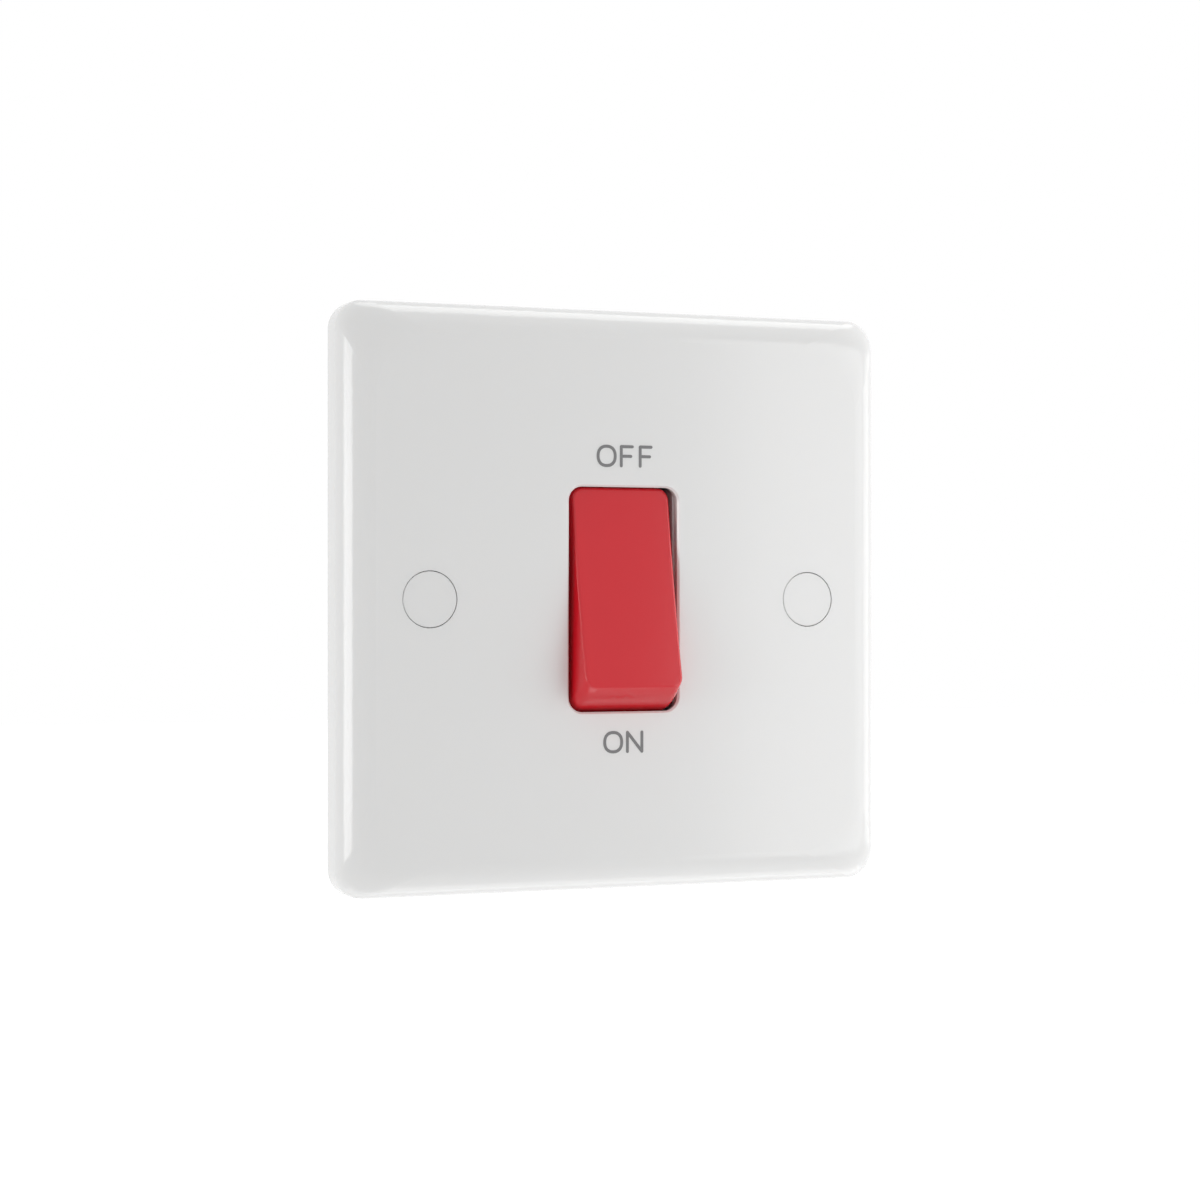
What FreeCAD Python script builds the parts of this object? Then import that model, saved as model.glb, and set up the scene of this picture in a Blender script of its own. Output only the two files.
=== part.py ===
"""Cooker control unit: a one-gang 45 A double-pole cooker switch.

Frame: +X to the right, +Z up, the front faces -Y. The origin is the middle of
the plate on the wall plane, y = 0, so the plate is in front of it and the
mechanism behind it. The rocker is shown OFF: its top is pressed in.
All lengths are millimetres and all angles are degrees.
"""
import FreeCAD, Part
import math
import operator
import os

import Sketcher
from FreeCAD import Placement, Rotation, Vector

# Driving sizes
DRIVING = {
    # Plate
    "plate_side": 86.0,
    "plate_depth": 8.0,
    "plate_skin": 2.2,
    "plate_wall": 2.6,
    "plate_corner": 4.0,
    "plate_hollow_corner": 6.0,
    "rim_width": 4.8,
    "rim_depth": 4.8,
    "face_corner": 9.0,
    "aperture_side_gap": 0.25,
    "aperture_end_gap": 0.7,
    "aperture_corner": 2.0,
    "aperture_draft": 9.0,
    "aperture_bevel": 0.35,
    "well_wall": 2.0,
    "rib_thickness": 1.2,
    "rib_height": 2.6,
    "rib_inset": 12.0,
    # Fixing holes and their caps
    "fixing_inset": 12.85,
    "fixing_hole": 4.3,
    "fixing_floor": 2.4,
    "head_recess_depth": 3.6,
    "cap_diameter": 8.1,
    "cap_gap": 0.1,
    "cap_bevel": 0.1,
    "cap_thickness": 1.0,
    "cap_skirt_wall": 0.8,
    "fixing_boss_wall": 1.8,
    # Rocker
    "pivot_depth": 7.3,
    "rocker_tilt": 11.2,
    "rocker_length": 29.8,
    "rocker_face_rise": 9.0,
    "rocker_face_width": 15.34,
    "rocker_skirt_width": 16.7,
    "rocker_skirt_rise": 1.5,
    "rocker_dish": 0.44,
    "rocker_roof": 1.8,
    "rocker_wall": 1.7,
    "rocker_corner": 1.7,
    "rocker_edge": 0.4,
    "rocker_spine": 6.8,
    "rocker_spine_reach": 2.4,
    "rocker_knee": 12.0,
    "trunnion_diameter": 3.2,
    "trunnion_length": 1.9,
    "trunnion_gap": 0.05,
    "side_gap": 0.35,
    "end_gap": 0.5,
    # Sprung plungers
    "pole_spacing": 9.2,
    "tube_bore": 3.6,
    "tube_wall": 1.0,
    "tube_reach": 4.5,
    "tube_depth": 6.0,
    "plunger_gap": 0.1,
    "plunger_shoulder": 0.5,
    "plunger_shank": 6.2,
    "plunger_nose_radius": 1.2,
    "plunger_reach": 10.1,
    "plunger_spigot": 2.0,
    "spigot_gap": 0.2,
    "spring_wire": 0.5,
    "spring_turns": 5.5,
    "spring_gap": 0.1,
    # See-saw contact arms
    "arm_ratio": 0.75,
    "arm_width": 6.0,
    "arm_thickness": 1.2,
    "arm_bend": 6.0,
    "arm_upper_length": 13.0,
    "arm_lower_length": 6.5,
    "arm_rib_radius": 0.7,
    "fulcrum_gap": 0.05,
    "nose_gap": 0.09,
    "moving_contact_radius": 2.2,
    "moving_contact_height": 1.1,
    "moving_contact_dome": 0.37,
    "contact_offset": 10.6,
    "contact_closed_gap": 0.06,
    "fixed_contact_radius": 2.3,
    "fixed_contact_height": 0.8,
    # Straps and terminals
    "strap_thickness": 1.2,
    "strap_width": 5.8,
    "strap_end_gap": 0.3,
    "fulcrum_lip_gap": 0.25,
    "fulcrum_thickness": 2.8,
    "terminal_spacing": 19.2,
    "terminal_width": 10.0,
    "terminal_height": 9.0,
    "terminal_inner_edge": 17.0,
    "terminal_bore": 6.2,
    "terminal_front_wall": 1.6,
    "terminal_rear_wall": 2.7,
    "terminal_bevel": 0.3,
    "rivet_diameter": 3.0,
    "rivet_gap": 0.05,
    "screw_diameter": 5.0,
    "screw_gap": 0.05,
    "screw_lift": 0.6,
    "screw_head_diameter": 6.5,
    "screw_head_height": 2.2,
    "slot_width": 0.9,
    "slot_depth": 1.1,
    "screw_bevel": 0.3,
    # Base housing
    "base_side_wall": 2.3,
    "base_end_wall": 1.9,
    "base_rear_wall": 3.1,
    "base_corner": 2.5,
    "base_edge": 1.2,
    "barrier_thickness": 2.4,
    "barrier_front": 4.0,
    "stop_gap": 0.09,
    "floor_thickness": 2.3,
    "tower_inner_wall": 1.8,
    "pocket_gap": 0.1,
    "chamber_wall": 2.0,
    "wire_hole": 7.2,
    "access_hole": 7.4,
    "hold_down_width": 5.0,
    "hold_down_height": 4.0,
    "hold_down_gap": 0.15,
    "ledge_thickness": 3.0,
    "ledge_margin": 0.5,
    "ledge_inset": 1.25,
    "ledge_length": 8.0,
    # Assembly screws
    "assembly_side_gap": 1.3,
    "assembly_end_gap": 1.5,
    "assembly_shank": 2.8,
    "assembly_pilot": 2.4,
    "assembly_length": 6.5,
    "assembly_head": 5.0,
    "assembly_head_height": 1.8,
    "assembly_head_round": 0.9,
    "assembly_boss": 6.0,
    # Earth terminals
    "earth_side_gap": 0.5,
    "earth_end_gap": 3.0,
    "earth_width": 7.0,
    "earth_length": 8.0,
    "earth_bore": 4.4,
    "earth_wall": 1.4,
    "earth_rear_wall": 2.4,
    "earth_screw": 4.0,
    "earth_head": 5.6,
    "earth_head_height": 1.9,
    "earth_strip_width": 6.0,
    "earth_strip_thickness": 1.0,
}

RIM_STEPS = 4
SLACK = 0.02
POLE_SIDES = {"left": -1, "right": 1}
ROW_SIDES = {"supply": -1, "load": 1}

OPERATIONS = {"+": operator.add, "-": operator.sub, "*": operator.mul, "/": operator.truediv}


class Size:
    """A number together with the spreadsheet formula that gives it."""

    def __init__(self, number, formula):
        self.number = float(number)
        self.formula = formula

    def __add__(self, other):
        return combine(self, "+", other)

    def __radd__(self, other):
        return combine(other, "+", self)

    def __sub__(self, other):
        return combine(self, "-", other)

    def __rsub__(self, other):
        return combine(other, "-", self)

    def __mul__(self, other):
        return combine(self, "*", other)

    def __rmul__(self, other):
        return combine(other, "*", self)

    def __truediv__(self, other):
        return combine(self, "/", other)

    def __neg__(self):
        return combine(-1, "*", self)


def as_size(value):
    if isinstance(value, Size):
        return value
    return Size(value, f"({float(value)!r})")


def combine(first, sign, second):
    first, second = as_size(first), as_size(second)
    number = OPERATIONS[sign](first.number, second.number)
    return Size(number, f"({first.formula} {sign} {second.formula})")


def sine(angle):
    angle = as_size(angle)
    return Size(math.sin(math.radians(angle.number)), f"sin({angle.formula} * 1 deg)")


def cosine(angle):
    angle = as_size(angle)
    return Size(math.cos(math.radians(angle.number)), f"cos({angle.formula} * 1 deg)")


def tangent(angle):
    return sine(angle) / cosine(angle)


def root(value):
    return Size(math.sqrt(value.number), f"sqrt({value.formula})")


def third_side(longest, other):
    """The remaining side of a right-angled triangle."""
    return root(longest * longest - other * other)


# The document and its sheet of sizes
doc = FreeCAD.newDocument("cooker_control_unit")
sheet = doc.addObject("Spreadsheet::Sheet", "sizes")
for row, (alias, number) in enumerate(DRIVING.items(), 1):
    sheet.set(f"A{row}", alias)
    sheet.set(f"B{row}", str(number))
    sheet.setAlias(f"B{row}", alias)
doc.recompute()


class Sizes:
    """Reads a driving size by its name."""

    def __getattr__(self, alias):
        return Size(DRIVING[alias], f"sizes.{alias}")


s = Sizes()

# Sizes that follow from the driving ones
face_y = -s.plate_depth
skin_back_y = face_y + s.plate_skin
pivot_y = face_y + s.pivot_depth
split_y = pivot_y
pole_x = s.pole_spacing / 2
end_radius = root(s.rocker_face_rise * s.rocker_face_rise + s.rocker_length * s.rocker_length / 4)
well_half_width = s.rocker_skirt_width / 2 + s.side_gap
well_half_height = end_radius + s.end_gap
aperture_half_width = s.rocker_skirt_width / 2 + s.aperture_side_gap
aperture_half_height = third_side(end_radius, s.pivot_depth) + s.aperture_end_gap
trunnion_radius = s.trunnion_diameter / 2
trunnion_seat_radius = trunnion_radius + s.trunnion_gap
arm_swing = s.rocker_tilt * s.arm_ratio
arm_trough = s.arm_thickness / cosine(s.arm_bend)
hinge_y = pivot_y + s.plunger_reach + s.nose_gap + arm_trough
closed_slope = arm_swing - s.arm_bend
closed_contact_y = (hinge_y + s.contact_offset * sine(closed_slope)
                    + s.moving_contact_height * cosine(closed_slope))
closed_contact_z = s.contact_offset * cosine(closed_slope) - s.moving_contact_height * sine(closed_slope)
fixed_contact_y = closed_contact_y + s.contact_closed_gap
strap_front_y = fixed_contact_y + s.fixed_contact_height
strap_back_y = strap_front_y + s.strap_thickness
terminal_x = s.terminal_spacing / 2
terminal_mid_z = s.terminal_inner_edge + s.terminal_height / 2
terminal_bore_y = strap_back_y + s.terminal_front_wall + s.terminal_bore / 2
terminal_back_y = terminal_bore_y + s.terminal_bore / 2 + s.terminal_rear_wall
floor_back_y = strap_back_y + s.floor_thickness
base_half_width = terminal_x + s.terminal_width / 2 + s.pocket_gap + s.base_side_wall
base_half_height = s.terminal_inner_edge + s.terminal_height + s.pocket_gap + s.base_end_wall
base_back_y = terminal_back_y + s.pocket_gap + s.base_rear_wall
assembly_x = base_half_width + s.assembly_head / 2 + s.assembly_side_gap
assembly_z = base_half_height - s.assembly_head / 2 - s.assembly_end_gap
earth_x = base_half_width + s.earth_width / 2 + s.earth_side_gap
earth_z = assembly_z - s.assembly_head / 2 - s.earth_end_gap - s.earth_length / 2
ledge_outer_x = earth_x + s.earth_width / 2 + s.ledge_margin
ledge_back_y = split_y + s.ledge_thickness
earth_front_y = ledge_back_y + s.earth_strip_thickness
earth_bore_y = earth_front_y + s.earth_wall + s.earth_bore / 2
earth_back_y = earth_bore_y + s.earth_bore / 2 + s.earth_rear_wall
fixing_x = s.plate_side / 2 - s.fixing_inset
recess_radius = s.cap_diameter / 2 + s.cap_gap
recess_floor_y = face_y + s.head_recess_depth
fixing_back_y = recess_floor_y + s.fixing_floor


# Modelling helpers
def new_body(label):
    body = doc.addObject("PartDesign::Body", label)
    body.Label = label
    return body


def new_sketch(body, role, name, offset=0.0):
    """A sketch on one of the body's own origin planes, moved along its normal."""
    sketch = body.newObject("Sketcher::SketchObject", name)
    plane = next(item for item in body.Origin.OriginFeatures if item.Role == role)
    sketch.AttachmentSupport = [(plane, "")]
    sketch.MapMode = "FlatFace"
    offset = as_size(offset)
    sketch.AttachmentOffset = Placement(Vector(0, 0, offset.number), Rotation())
    sketch.setExpression("AttachmentOffset.Base.z", offset.formula)
    return sketch


def front_sketch(body, name, y=0.0):
    """A sketch in X and Z at depth y, seen from the front."""
    return new_sketch(body, "XZ_Plane", name, -as_size(y))


def side_sketch(body, name, x=0.0):
    """A sketch in Y and Z, seen from the right."""
    return new_sketch(body, "YZ_Plane", name, x)


def top_sketch(body, name, z=0.0):
    """A sketch in X and Y, seen from above."""
    return new_sketch(body, "XY_Plane", name, z)


def bind_datum(sketch, constraint, value):
    index = sketch.addConstraint(constraint)
    sketch.setExpression(f"Constraints[{index}]", value.formula)


def pin_point(sketch, geometry, point, corner):
    """Ties one point of the sketch to its two coordinates."""
    across, up = (as_size(part) for part in corner)
    bind_datum(sketch, Sketcher.Constraint("DistanceX", -1, 1, geometry, point, across.number), across)
    bind_datum(sketch, Sketcher.Constraint("DistanceY", -1, 1, geometry, point, up.number), up)


def arc_between(start, end, radius, bulge):
    """Arc from start to end; a positive bulge puts its centre to the left of the way."""
    ax, ay = (as_size(part).number for part in start)
    bx, by = (as_size(part).number for part in end)
    half = math.hypot(bx - ax, by - ay) / 2
    reach = math.sqrt(max(radius.number ** 2 - half ** 2, 0.0))
    left = (-(by - ay) / (2 * half), (bx - ax) / (2 * half))
    centre = Vector((ax + bx) / 2 + left[0] * reach * bulge, (ay + by) / 2 + left[1] * reach * bulge, 0)
    angles = [math.atan2(ay - centre.y, ax - centre.x), math.atan2(by - centre.y, bx - centre.x)]
    if bulge < 0:
        angles.reverse()
    return Part.ArcOfCircle(Part.Circle(centre, Vector(0, 0, 1), radius.number), *angles)


def add_outline(sketch, corners, arcs=None):
    """Closed outline through the corners. arcs maps a side's number to (radius, bulge)."""
    arcs = arcs or {}
    ends = []
    for number, corner in enumerate(corners):
        following = corners[(number + 1) % len(corners)]
        if number in arcs:
            radius, bulge = arcs[number]
            index = sketch.addGeometry(arc_between(corner, following, as_size(radius), bulge), False)
            ends.append((index, 1, 2) if bulge > 0 else (index, 2, 1))
        else:
            points = [Vector(*(as_size(part).number for part in end), 0) for end in (corner, following)]
            ends.append((sketch.addGeometry(Part.LineSegment(*points), False), 1, 2))
    for number, corner in enumerate(corners):
        index, start, _ = ends[number]
        before, _, finish = ends[number - 1]
        pin_point(sketch, index, start, corner)
        sketch.addConstraint(Sketcher.Constraint("Coincident", before, finish, index, start))
    for number, (radius, _) in arcs.items():
        radius = as_size(radius)
        bind_datum(sketch, Sketcher.Constraint("Radius", ends[number][0], radius.number), radius)


def add_box_outline(sketch, left, bottom, right, top):
    add_outline(sketch, [(left, bottom), (right, bottom), (right, top), (left, top)])


def add_rounded_outline(sketch, half_width, half_height, radius, middle=(0.0, 0.0)):
    """A rectangle with four equal rounded corners."""
    across, up = (as_size(part) for part in middle)
    inner_x = half_width - radius
    inner_z = half_height - radius
    corners = [
        (across - inner_x, up - half_height), (across + inner_x, up - half_height),
        (across + half_width, up - inner_z), (across + half_width, up + inner_z),
        (across + inner_x, up + half_height), (across - inner_x, up + half_height),
        (across - half_width, up + inner_z), (across - half_width, up - inner_z),
    ]
    add_outline(sketch, corners, {side: (radius, 1) for side in (1, 3, 5, 7)})


def add_circle(sketch, across, up, radius):
    across, up, radius = as_size(across), as_size(up), as_size(radius)
    circle = Part.Circle(Vector(across.number, up.number, 0), Vector(0, 0, 1), radius.number)
    index = sketch.addGeometry(circle, False)
    pin_point(sketch, index, 3, (across, up))
    bind_datum(sketch, Sketcher.Constraint("Radius", index, radius.number), radius)


def extrude(kind, sketch, length, away, both_ways):
    body = sketch.getParent()
    feature = body.newObject(f"PartDesign::{kind}", f"{sketch.Name}_{kind.lower()}")
    length = as_size(length)
    feature.Profile = sketch
    feature.Length = length.number
    feature.setExpression("Length", length.formula)
    feature.Reversed = away
    if both_ways:
        feature.Midplane = True
    before = body.Tip.Shape.Volume if body.Tip and body.Tip is not feature else 0.0
    return feature, before


def pad(sketch, length, towards_back=False, both_ways=False):
    """Adds material. On a front sketch it grows to the front, or to the back."""
    feature, _ = extrude("Pad", sketch, length, towards_back, both_ways)
    doc.recompute()
    return feature


def pocket(sketch, length, towards_front=False, both_ways=False, draft=None):
    """Cuts material away. On a front sketch it cuts to the back, or to the front.

    On a sketch seen from above it cuts down, or up when towards_front is set.
    """
    body = sketch.getParent()
    before = body.Shape.Volume
    feature, _ = extrude("Pocket", sketch, length, towards_front, both_ways)
    if draft is not None:
        feature.TaperAngle = draft.number
        feature.setExpression("TaperAngle", draft.formula)
    doc.recompute()
    if feature.Shape.isNull() or feature.Shape.Volume >= before:
        raise RuntimeError(f"{feature.Name} cuts nothing")
    return feature


def revolve(sketch, axis_role):
    body = sketch.getParent()
    feature = body.newObject("PartDesign::Revolution", f"{sketch.Name}_turned")
    feature.Profile = sketch
    feature.ReferenceAxis = (next(i for i in body.Origin.OriginFeatures if i.Role == axis_role), [""])
    feature.Angle = 360.0
    doc.recompute()
    return feature


def dress(body, kind, radius, choose):
    """Rounds or bevels every edge of the body for which choose(edge) is true."""
    base = body.Tip
    names = [f"Edge{n}" for n, edge in enumerate(base.Shape.Edges, 1) if choose(edge)]
    if not names:
        raise RuntimeError(f"{body.Label}: no edge to dress")
    feature = body.newObject(f"PartDesign::{kind}", f"{body.Name}_{kind.lower()}")
    feature.Base = (base, names)
    radius = as_size(radius)
    setting = "Radius" if kind == "Fillet" else "Size"
    setattr(feature, setting, radius.number)
    feature.setExpression(setting, radius.formula)
    doc.recompute()
    if feature.Shape.isNull():
        raise RuntimeError(f"{feature.Name} failed")
    return feature


def near(first, second):
    return abs(first - as_size(second).number) < SLACK


def edge_at_depth(y):
    """Chooses the edges that lie wholly at depth y of the body's own frame."""
    def choose(edge):
        return near(edge.BoundBox.YMin, y) and near(edge.BoundBox.YMax, y)
    return choose


def place(body, x=0.0, y=0.0, z=0.0, turn=0.0):
    """Puts a body at x, y, z, turned about +X."""
    x, y, z, turn = (as_size(part) for part in (x, y, z, turn))
    body.Placement = Placement(Vector(x.number, y.number, z.number), Rotation(Vector(1, 0, 0), turn.number))
    body.setExpression("Placement.Base.x", x.formula)
    body.setExpression("Placement.Base.y", y.formula)
    body.setExpression("Placement.Base.z", z.formula)
    return body


# Front plate
def front_plate():
    """The moulding: a shell whose rim is a quarter ellipse and whose corners soften to the face."""
    body = new_body("front_plate")
    rim_y = face_y + s.rim_depth
    outline = front_sketch(body, "plate_outline")
    add_rounded_outline(outline, s.plate_side / 2, s.plate_side / 2, s.plate_corner)
    pad(outline, -rim_y)

    sections = []
    for step in range(RIM_STEPS + 1):
        angle = 90.0 * step / RIM_STEPS
        half = s.plate_side / 2 - s.rim_width * (1 - cosine(angle))
        softening = (s.face_corner - s.plate_corner) * (1 - cosine(angle))
        section = front_sketch(body, f"rim_section_{step}", rim_y - s.rim_depth * sine(angle))
        add_rounded_outline(section, half, half, s.plate_corner + softening)
        sections.append(section)
    rim = body.newObject("PartDesign::AdditiveLoft", "rounded_rim")
    rim.Profile = sections[0]
    rim.Sections = sections[1:]
    doc.recompute()

    hollow = front_sketch(body, "plate_hollow")
    inner_half = s.plate_side / 2 - s.plate_wall
    add_rounded_outline(hollow, inner_half, inner_half, s.plate_hollow_corner)
    pocket(hollow, s.plate_depth - s.plate_skin, towards_front=True)

    ribs = front_sketch(body, "stiffening_ribs", skin_back_y)
    rib_half = s.rib_thickness / 2
    for side in (-1, 1):
        middle = (s.plate_side / 2 - s.rib_inset) * side
        add_box_outline(ribs, -inner_half, middle - rib_half, inner_half, middle + rib_half)
    pad(ribs, s.rib_height, towards_back=True)

    well = front_sketch(body, "rocker_well", skin_back_y)
    add_box_outline(well, -well_half_width - s.well_wall, -well_half_height - s.well_wall,
                    well_half_width + s.well_wall, well_half_height + s.well_wall)
    pad(well, split_y - skin_back_y, towards_back=True)

    posts = front_sketch(body, "hold_down_posts", skin_back_y)
    bosses = front_sketch(body, "assembly_bosses", skin_back_y)
    for side in (-1, 1):
        for row in (-1, 1):
            x, z = terminal_x * side, terminal_mid_z * row
            add_box_outline(posts, x - s.hold_down_width / 2, z - s.hold_down_height / 2,
                            x + s.hold_down_width / 2, z + s.hold_down_height / 2)
            add_circle(bosses, assembly_x * side, assembly_z * row, s.assembly_boss / 2)
    pad(posts, strap_front_y - s.hold_down_gap - skin_back_y, towards_back=True)
    pad(bosses, split_y - skin_back_y, towards_back=True)

    fixing_bosses = front_sketch(body, "fixing_bosses", skin_back_y)
    recesses = front_sketch(body, "cap_recesses", face_y)
    fixings = front_sketch(body, "fixing_holes", face_y)
    pilots = front_sketch(body, "assembly_pilots", split_y)
    for side in (-1, 1):
        add_circle(fixing_bosses, fixing_x * side, 0, recess_radius + s.fixing_boss_wall)
        add_circle(recesses, fixing_x * side, 0, recess_radius)
        add_circle(fixings, fixing_x * side, 0, s.fixing_hole / 2)
        for row in (-1, 1):
            add_circle(pilots, assembly_x * side, assembly_z * row, s.assembly_pilot / 2)
    pad(fixing_bosses, fixing_back_y - skin_back_y, towards_back=True)
    pocket(recesses, s.head_recess_depth)
    pocket(fixings, s.plate_depth)
    pocket(pilots, split_y - skin_back_y, towards_front=True)

    inside = front_sketch(body, "well_inside", split_y)
    add_box_outline(inside, -well_half_width, -well_half_height, well_half_width, well_half_height)
    pocket(inside, split_y - skin_back_y, towards_front=True)

    opening = front_sketch(body, "rocker_opening", face_y)
    add_rounded_outline(opening, aperture_half_width, aperture_half_height, s.aperture_corner)
    pocket(opening, s.plate_skin, draft=s.aperture_draft)

    seat = side_sketch(body, "trunnion_seats")
    add_circle(seat, pivot_y, 0, trunnion_seat_radius)
    pocket(seat, 2 * (well_half_width + s.well_wall), both_ways=True)

    def opening_edge(edge):
        reach = max(abs(edge.BoundBox.XMin), abs(edge.BoundBox.XMax))
        return edge_at_depth(face_y)(edge) and reach < aperture_half_width.number + SLACK
    dress(body, "Chamfer", s.aperture_bevel, opening_edge)
    return body


def screw_cap(name, side):
    """A press-in cap: a disc with a skirt that stands on the recess floor."""
    body = new_body(f"screw_cap_{name}")
    radius = s.cap_diameter / 2
    disc = front_sketch(body, f"cap_disc_{name}")
    add_circle(disc, 0, 0, radius)
    pad(disc, s.head_recess_depth, towards_back=True)
    hollow = front_sketch(body, f"cap_hollow_{name}", s.cap_thickness)
    add_circle(hollow, 0, 0, radius - s.cap_skirt_wall)
    pocket(hollow, s.head_recess_depth - s.cap_thickness)
    dress(body, "Chamfer", s.cap_bevel, edge_at_depth(0))
    return place(body, fixing_x * side, face_y)


# Rocker
def rocker():
    """The rocker about its own pivot, level; it is then tilted to OFF."""
    body = new_body("rocker")
    half = s.rocker_length / 2
    face = -s.rocker_face_rise
    skirt = -s.rocker_skirt_rise
    skirt_half = third_side(end_radius, s.rocker_skirt_rise)
    spine_half = s.rocker_spine / 2
    knee_half = s.rocker_knee / 2
    dish_radius = (half * half + s.rocker_dish * s.rocker_dish) / (2 * s.rocker_dish)
    profile = side_sketch(body, "rocker_profile")
    corners = [
        (face, half), (face, -half), (skirt, -skirt_half), (skirt, -knee_half),
        (s.rocker_spine_reach, -spine_half), (s.rocker_spine_reach, spine_half),
        (skirt, knee_half), (skirt, skirt_half),
    ]
    add_outline(profile, corners, {0: (dish_radius, -1), 1: (end_radius, 1), 7: (end_radius, 1)})
    pad(profile, s.rocker_skirt_width, both_ways=True)

    flanks = top_sketch(body, "rocker_flanks")
    face_half, skirt_side = s.rocker_face_width / 2, s.rocker_skirt_width / 2
    for side in (-1, 1):
        add_outline(flanks, [
            (face_half * side, face), (skirt_side * side, skirt),
            (skirt_side * 2 * side, skirt), (skirt_side * 2 * side, face)])
    pocket(flanks, 4 * half, both_ways=True)

    def end_corner(edge):
        box = edge.BoundBox
        return box.YLength > s.rocker_corner.number and min(abs(box.ZMin), abs(box.ZMax)) > knee_half.number
    dress(body, "Fillet", s.rocker_corner, end_corner)

    def face_edge(edge):
        return edge.BoundBox.YMax < face.number + s.rocker_dish.number + SLACK
    dress(body, "Fillet", s.rocker_edge, face_edge)

    hollows = side_sketch(body, "rocker_hollows")
    inner_radius = end_radius - s.rocker_wall
    roof = face + s.rocker_dish + s.rocker_roof
    roof_half = third_side(inner_radius, roof)
    for side in (-1, 1):
        add_outline(hollows, [
            (roof, spine_half * side), (roof, roof_half * side),
            (skirt, third_side(inner_radius, skirt) * side),
            (s.rocker_spine_reach, third_side(inner_radius, skirt) * side),
            (s.rocker_spine_reach, spine_half * side)], {1: (inner_radius, -side)})
    pocket(hollows, s.rocker_face_width - 2 * s.rocker_wall, both_ways=True)

    trunnions = side_sketch(body, "trunnions")
    add_circle(trunnions, 0, 0, trunnion_radius)
    pad(trunnions, s.rocker_skirt_width + 2 * s.trunnion_length, both_ways=True)

    tubes = front_sketch(body, "plunger_tubes", roof)
    bores = front_sketch(body, "plunger_bores", s.tube_reach)
    for side in (-1, 1):
        add_circle(tubes, pole_x * side, 0, s.tube_bore / 2 + s.tube_wall)
        add_circle(bores, pole_x * side, 0, s.tube_bore / 2)
    pad(tubes, s.tube_reach - roof, towards_back=True)
    pocket(bores, s.tube_reach + s.tube_depth, towards_front=True)
    body.Placement = Placement(Vector(0, pivot_y.number, 0), Rotation(Vector(1, 0, 0), -s.rocker_tilt.number))
    return body


def in_rocker(x, y):
    """A point of the level rocker's frame, in the part's frame with the rocker at OFF."""
    return (x, pivot_y + y * cosine(s.rocker_tilt), -y * sine(s.rocker_tilt))


def plunger(name, side):
    """A turned nylon plunger: spigot, shoulder, shank and rounded nose."""
    body = new_body(f"plunger_{name}")
    radius = s.tube_bore / 2 - s.plunger_gap
    spigot_radius = s.tube_bore / 2 - s.spring_gap - s.spring_wire - s.spigot_gap
    nose_y = s.plunger_reach - s.plunger_nose_radius
    shoulder = s.plunger_shoulder
    outline = top_sketch(body, f"plunger_outline_{name}")
    corners = [
        (0.0, shoulder - s.plunger_spigot), (spigot_radius, shoulder - s.plunger_spigot),
        (spigot_radius, shoulder), (radius, shoulder), (radius, s.plunger_shank),
        (s.plunger_nose_radius, s.plunger_shank + radius - s.plunger_nose_radius),
        (s.plunger_nose_radius, nose_y), (0.0, s.plunger_reach),
    ]
    add_outline(outline, corners, {6: (s.plunger_nose_radius, 1)})
    revolve(outline, "Y_Axis")
    return place(body, *in_rocker(pole_x * side, as_size(0.0)), -s.rocker_tilt)


def contact_spring(name, side):
    """The coil spring between the bottom of the bore and the plunger's shoulder."""
    wire = s.spring_wire.number
    radius = s.tube_bore.number / 2 - s.spring_gap.number - wire / 2
    length = s.tube_depth.number + s.plunger_shoulder.number - wire - 2 * s.spring_gap.number
    helix = Part.makeHelix(length / s.spring_turns.number, length, radius)
    start = Part.Wire([Part.makeCircle(wire / 2, Vector(radius, 0, 0), Vector(0, 1, 0))])
    coil = Part.Wire(helix.Edges).makePipeShell([start], True, True)
    spring = doc.addObject("Part::Feature", f"contact_spring_{name}")
    spring.Label = spring.Name
    spring.Shape = coil
    back = -s.tube_depth.number + wire / 2 + s.spring_gap.number
    tilt = Rotation(Vector(1, 0, 0), -s.rocker_tilt.number)
    seat = Vector(0, pivot_y.number, 0) + tilt.multVec(Vector(pole_x.number * side, back, 0))
    spring.Placement = Placement(seat, tilt.multiply(Rotation(Vector(1, 0, 0), -90)))
    return spring


# See-saw contact arms
def contact_arm(name, side):
    """A bent copper arm that rocks on a half-round rib pressed into its back."""
    body = new_body(f"contact_arm_{name}")
    bend, thick = s.arm_bend, s.arm_thickness
    upper, lower = s.arm_upper_length, s.arm_lower_length
    profile = side_sketch(body, f"arm_profile_{name}")
    add_outline(profile, [
        (0.0, 0.0), (-upper * sine(bend), upper * cosine(bend)),
        (-upper * sine(bend) - thick * cosine(bend), upper * cosine(bend) - thick * sine(bend)),
        (-arm_trough, 0.0),
        (-lower * sine(bend) - thick * cosine(bend), -lower * cosine(bend) + thick * sine(bend)),
        (-lower * sine(bend), -lower * cosine(bend)),
    ])
    pad(profile, s.arm_width, both_ways=True)
    rib = side_sketch(body, f"arm_rib_{name}")
    add_circle(rib, 0, 0, s.arm_rib_radius)
    pad(rib, s.arm_width, both_ways=True)
    return place(body, pole_x * side, hinge_y, 0.0, arm_swing)


def contact_rivet(label, radius, height, dome):
    """A silver contact: a disc along +Y with a shallow dome."""
    body = new_body(label)
    outline = top_sketch(body, f"{label}_outline")
    rim = height - dome
    dome_radius = (radius * radius + dome * dome) / (2 * dome)
    add_outline(outline, [(0.0, 0.0), (radius, 0.0), (radius, rim), (0.0, height)], {2: (dome_radius, 1)})
    revolve(outline, "Y_Axis")
    return body


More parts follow.
